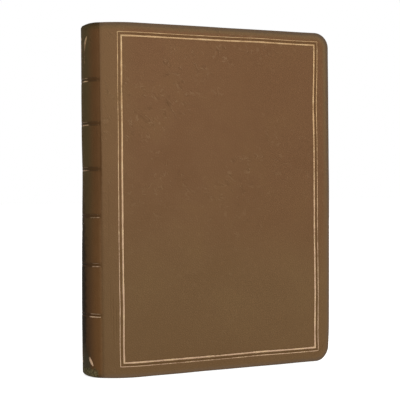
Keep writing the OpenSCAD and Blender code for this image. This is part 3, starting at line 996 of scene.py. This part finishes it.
def gilt_ribbons(name, ribbons, body, *nodes):
    """Gilt lines laid on the leather as one piece."""
    points, faces, places, leaf = [], [], [], []
    count, rows = 0, len(LEAF_SECTION)
    for girth, height, across, half, whole, closed, hollow in ribbons:
        for share, lift in LEAF_SECTION:
            w, z = girth + across[0] * half * share, height + across[1] * half * share
            x, y = skin_point(w, -relief(w, z) - lift)
            points.append(np.stack([x, y, z - cap_dip(w, z)], 1))
            places.append(np.stack([w, z, 0 * x], 1))
            leaf.append(whole - hollow * (share == 0))
        length = len(girth)
        rings = [[count + k * length + i for k in range(rows)] for i in range(length)]
        for a, b in zip(rings, rings[1:] + (rings[:1] if closed else [])):
            faces += zip(a, b, b[1:] + b[:1], a[1:] + a[:1])
        if not closed:
            faces += [tuple(rings[0]), tuple(rings[-1][::-1])]
        count += rows * length
    piece = make_piece(name, np.concatenate(points), faces, place=np.concatenate(places),
                       leaf=np.concatenate(leaf))
    return finish(piece, GILT, "gilt", body, *nodes)


def frame_ribbon(side, inset, width, whole):
    """One line of a cover's frame, with mitred corners."""
    (a0, z0), (a1, z1) = LINE_LO + inset, LINE_HI - inset
    corners = np.array([(a0, z0), (a1, z0), (a1, z1), (a0, z1)])
    ways = np.array([(0.0, -1.0), (1.0, 0.0), (0.0, 1.0), (-1.0, 0.0)])
    sides = []
    for i in range(4):
        start, end = corners[i], corners[(i + 1) % 4]
        steps = int(math.dist(start, end) / 0.8)
        out = np.tile(ways[i], (steps, 1))
        out[0] += ways[i - 1]
        t = (np.arange(steps) / steps)[:, None]
        sides.append(np.hstack([start + (end - start) * t, out]))
    a, z, out_a, out_z = np.concatenate(sides).T
    along, up = hand_drift(side * a, z)
    girth, height = side * (a + along), z + up
    uneven = 0.22 * hills(girth, height, 3.2, 51) + 0.12 * hills(girth, height, 1.1, 52)
    leaf = whole + 0.18 * hills(girth, height, 22, 53)
    return ribbon(girth, height, (side * out_a, out_z), width / 2 * (1 + uneven), leaf, closed=True)


def rule_ribbons():
    """The pairs of rules across the spine, with the gold kept whole along stretches that are
    painted glints.
    """
    ribbons = []
    girth = np.arange(-HINGE_W + 0.5, HINGE_W - 0.45, 0.45)
    for z, (start, end, strength) in zip(RULE_Z, GLINT_STRETCHES):
        # Painted glint: the gold is kept whole along the stretch where light would glint on it
        painted_glint = strength * within(girth, start - 1.5, end + 1.5, 2.5)
        for rise, width, whole in RULES:
            height = z + rise + 0.08 * hills(girth, z, 7, 61)
            half = width / 2 * (1 + 0.2 * hills(girth, height, 1.6, 62))
            ribbons.append(ribbon(girth, height, (0, 1), half,
                                  whole + painted_glint + 0.3 * ramp(girth, 2.0, 5.0)))
    return ribbons


def ornament_ribbons(root, way):
    """A flaring pair of leaves round a bud, a lozenge and a dot, drawn from its root towards
    head or tail. A form's places across and up and its half widths are shares of the height
    of the whole ornament."""
    t = np.linspace(0.02, 0.98, 26)
    bow = bowed(t)
    if way < 0:
        lean = math.radians(15)
        out = 0.29 + math.sin(lean) * t - 0.045 * bow * math.cos(lean)
        fullness = bow ** 0.6 * (0.4 + 2.0 * ramp(t, 0.55, 0.98))
        reach, hollow = 1.0, 0.0
        leaf, kept_from, kept_to = (-0.35, 1.2), 0.5, 0.82
    else:
        out = 0.28 + 0.03 * t + 0.13 * t ** 5
        fullness = bow ** 0.7 * (0.6 + 1.4 * ramp(t, 0.45, 0.85))
        reach, hollow = 0.96, 0.1
        leaf, kept_from, kept_to = (0.38, 0.18), 0.55, 0.85
    forms = [(side * out, reach * t, 0.038 * fullness, hollow) for side in (-1, 1)]
    t = np.linspace(0.02, 0.98, 14)
    forms += [
        (0 * t, 0.30 + 0.45 * t, 0.08 * np.sin(math.pi * t), 0.0),
        (0 * t, 0.05 + 0.14 * t, 0.07 * (1 - np.abs(2 * t - 1)) + 0.02 / ORNAMENT_H, 0.0),
        (0 * t, 0.85 + 0.10 * t, 0.05 * np.sqrt(bowed(t)), 0.0),
    ]
    return [ribbon(SPINE_R * np.arcsin(ORNAMENT_H * across / SPINE_R),
                   root + way * ORNAMENT_H * up, (1, 0), ORNAMENT_H * half,
                   leaf[0] + leaf[1] * ramp(up, kept_from, kept_to), hollow=rubbed)
            for across, up, half, rubbed in forms]


def lay_gilt():
    """The frames of the covers, and the rules and ornaments of the spine."""
    for name, side in (("front", -1), ("back", 1)):
        for line, inset, width, whole in (("outer", 0, OUTER_LINE_W, 0.72),
                                          ("inner", LINE_PITCH, INNER_LINE_W, 0.80)):
            gilt_ribbons(f"{name}_{line}_line", [frame_ribbon(side, inset, width, whole)],
                         f"{name}_cover", f"{name}_{line}_fillet")
    gilt_ribbons("spine_gilt_rules", rule_ribbons(), "pages_and_spine", "spine_rules")
    tail_root = ORNAMENT_MARGIN + ORNAMENT_H
    for name, root, way in (("head", BOOK_H - tail_root, 1), ("tail", tail_root, -1)):
        gilt_ribbons(f"{name}_gilt_ornament", ornament_ribbons(root, way),
                     "pages_and_spine", f"{name}_ornament")


# ---------------------------------------------------------------- pages and endpapers

PAGE_LO_Z, PAGE_HI_Z = HEAD_SQUARE, BOOK_H - HEAD_SQUARE
PAGE_X = FORE_X - FORE_SQUARE
PAGE_CORNER_R = 6.0
FORE_HOLLOW = 3.0


def page_faces():
    """Places along the book and half thicknesses of the pages there: of the outermost leaf,
    which steps over the shoulder that the board lies against, and of the leaves within,
    which fan out gently."""
    a = np.concatenate([np.linspace(HINGE_W, HINGE_W + 2.1, 8),
                        np.linspace(HINGE_W + 2.6, SHOULDER_W, 22), [FORE_W]])
    x, y = skin_point(a, np.where(a < HINGE_W + 2.3, FLANGE_IN, PAGE_IN))
    fanned = FLANGE_IN + (PAGE_IN - FLANGE_IN) * ramp(a, HINGE_W - 4, HINGE_W + 9)
    return x, y, np.minimum(y, np.interp(x, *skin_point(a, fanned)))


def gather_pages():
    """The pages as one block: a stack of leaves that swell into the rounded back and the
    hollow fore-edge."""
    leaves, gathering = 120, 10
    rng = np.random.default_rng(7)
    edges = np.linspace(-1, 1, leaves + 1)
    along, outer, inner = page_faces()
    fore_half, back_r = outer[-1], SPINE_R - PAGE_IN + 0.3
    turn = np.linspace(0, math.pi / 2, 8)
    arc_x, arc_z = PAGE_CORNER_R * (np.sin(turn) - 1), PAGE_CORNER_R * (1 - np.cos(turn))
    points, leaf_at, gaps = [], [], []
    for k in range(leaves):
        first = k % gathering == 0
        lag = np.abs(rng.normal(0, 0.05, 2)) + (0.10 if first else 0.0)
        top, low = PAGE_HI_Z - lag[1], PAGE_LO_Z + lag[1]
        sides_z = np.linspace(low + PAGE_CORNER_R + 10, top - PAGE_CORNER_R - 10, 8)
        for q, share in ((edges[k], 0.02), (edges[k + 1], 0.98)):
            half = outer * abs(q) ** 4 + inner * (1 - abs(q) ** 4)
            y_back = q * half[0]
            x_back = along[0]
            if abs(y_back) < back_r * 0.97:
                x_back = SPINE_X - math.sqrt(back_r ** 2 - y_back ** 2)
            hollow = FORE_HOLLOW * max(0.0, 1 - (q * fore_half / (fore_half - 0.5)) ** 2)
            fore = PAGE_X - hollow - lag[0]
            xs = np.concatenate([[x_back], along[1:-1],
                                 np.linspace(-30, fore - PAGE_CORNER_R - 1, 6)])
            x = np.concatenate([xs, fore + arc_x, 0 * sides_z + fore, fore + arc_x[::-1], xs[::-1]])
            z = np.concatenate([0 * xs + low, low + arc_z, sides_z, top - arc_z[::-1],
                                0 * xs + top])
            points.append(np.stack([x, q * np.interp(x, along, half), z], 1))
            leaf_at.append(0 * x + (k + share) / leaves)
            gaps.append(0 * x + first)
    points = np.concatenate(points)
    rings = np.arange(len(points)).reshape(2 * leaves, -1).tolist()
    block = make_piece("pages", points, tube_faces(rings), leaf=np.concatenate(leaf_at),
                       gap=np.concatenate(gaps))
    block.data.shade_flat()
    finish(block, PAGE_EDGES, "page_paper", "pages_and_spine", "text_block")


def paper_sheet(name, path, fore_w, corner_r, side, seed):
    """A sheet of endpaper from the fore-edge to the hinge. path gives (girth, depth) of its
    face towards the pages."""
    bend = fore_w - corner_r + corner_r * np.sin(np.linspace(math.pi / 2, 0, 12))
    flat = np.concatenate([bend, np.arange(bend[-1] - 3, path[0][0] + 2, -4)])
    path = np.array([(w, path[0][1]) for w in flat] + path)
    a, depth = path.T
    step = np.gradient(path, axis=0)
    step /= np.maximum(np.hypot(*step.T), 1e-9)[:, None]
    over = np.clip(a - (fore_w - corner_r), 0, corner_r)
    short = corner_r - np.sqrt(corner_r ** 2 - over ** 2)
    z = np.linspace(PAGE_LO_Z + short, PAGE_HI_Z - short, 42, axis=1)
    points = []
    for layer in (0.0, PAPER_T):
        w = (a + step[:, 1] * layer)[:, None] + 0 * z
        under = (depth - np.abs(step[:, 0]) * layer)[:, None] + 0.03 * hills(w, z, 23, seed)
        points.append(np.stack([*skin_point(side * w, under), z], -1).reshape(-1, 3))
    index = np.arange(z.size).reshape(z.shape)
    faces = grid_faces(index) + [face[::-1] for face in grid_faces(index + z.size)]
    for row in (index[:, 0], index[::-1, -1], index[0, ::-1], index[-1]):
        faces += band_faces(row, row + z.size)
    w = a[:, None] + 0 * z
    place = np.stack([side * w, z, 0 * z], -1).reshape(-1, 3)
    away = np.minimum(np.minimum(z - PAGE_LO_Z, PAGE_HI_Z - z), fore_w - w)
    return make_piece(name, np.concatenate(points), faces, place=np.tile(place, (2, 1)),
                      rim=np.tile(fall(away, 0, 9).ravel(), 2))


def lay_endpapers():
    """Each endpaper is a pastedown that runs into the joint and a flyleaf that meets it at
    the hinge line. Their sections are given from the board or the pages to the hinge."""
    under = COVER_T + PAPER_T
    pasted = [(BOARD_W + 0.2, under), (BOARD_W - 0.15, under - 0.2), (BOARD_W - 0.3, 2.0),
              (BOARD_W - 0.35, 1.4), (BOARD_W - 0.7, 1.13), (BOARD_W - 1.4, 1.1),
              (HINGE_W + 1.1, 1.1), (HINGE_W + 0.7, 1.1), (HINGE_W + 0.3, 1.1)]
    free = [(HINGE_W + 3.4, PAGE_IN), (HINGE_W + 2.75, PAGE_IN - 0.05), (HINGE_W + 2.45, 2.6),
            (HINGE_W + 2.35, 1.9), (HINGE_W + 2.1, 1.42), (HINGE_W + 1.2, FLANGE_IN),
            (HINGE_W + 0.3, FLANGE_IN)]
    for name, side, seed in (("front", -1, 71), ("back", 1, 72)):
        down = paper_sheet(f"{name}_endpaper_pasted", pasted, FORE_W - HEAD_SQUARE,
                           CORNER_R - HEAD_SQUARE, side, seed)
        finish(down, ENDPAPER, "endpaper", None, f"{name}_pastedown")
        bend_at_hinge(down)
        leaf = paper_sheet(f"{name}_endpaper_leaf", free, FORE_W - FORE_SQUARE, PAGE_CORNER_R,
                           side, seed + 10)
        finish(leaf, ENDPAPER, "endpaper", "pages_and_spine", f"{name}_flyleaf")


def wind_bands():
    """The silk beads on the edges of the pages, at head and tail."""
    thread, bead_r, slant = 0.42, 0.72, 0.25
    mid_r = SPINE_R - PAGE_IN
    reach = (mid_r - 0.3) * math.radians(55)
    run = np.arange(-reach, reach, thread / 6)[:, None]
    turn = run / thread
    round_ = np.linspace(0, 2 * math.pi, 14, endpoint=False)
    r = bead_r * (0.90 + 0.10 * np.abs(np.sin(math.pi * turn)))
    out = mid_r + r * np.cos(round_)
    at = (run + slant * np.sin(round_)) / mid_r
    rings = np.arange(out.size).reshape(out.shape).tolist()
    for name, z in (("head", PAGE_HI_Z + 0.8), ("tail", PAGE_LO_Z - 0.8)):
        points = [SPINE_X - out * np.cos(at), out * np.sin(at), z + r * np.sin(round_)]
        bead = make_piece(f"{name}_silk_band", np.stack(points, -1).reshape(-1, 3),
                          tube_faces(rings), turn=(turn + 0 * out).ravel())
        finish(bead, SILK, "silk", "pages_and_spine", f"{name}_band")


def finish_hidden_parts():
    """Boards, cards, tapes and cloth keep their CAD shapes and get their own finishes."""
    for node, surface in FINISHES.items():
        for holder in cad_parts[node].material_slots:
            holder.material = surface


place_camera()
place_light()
place_floor()
cut_leather()
lay_gilt()
gather_pages()
lay_endpapers()
wind_bands()
finish_hidden_parts()
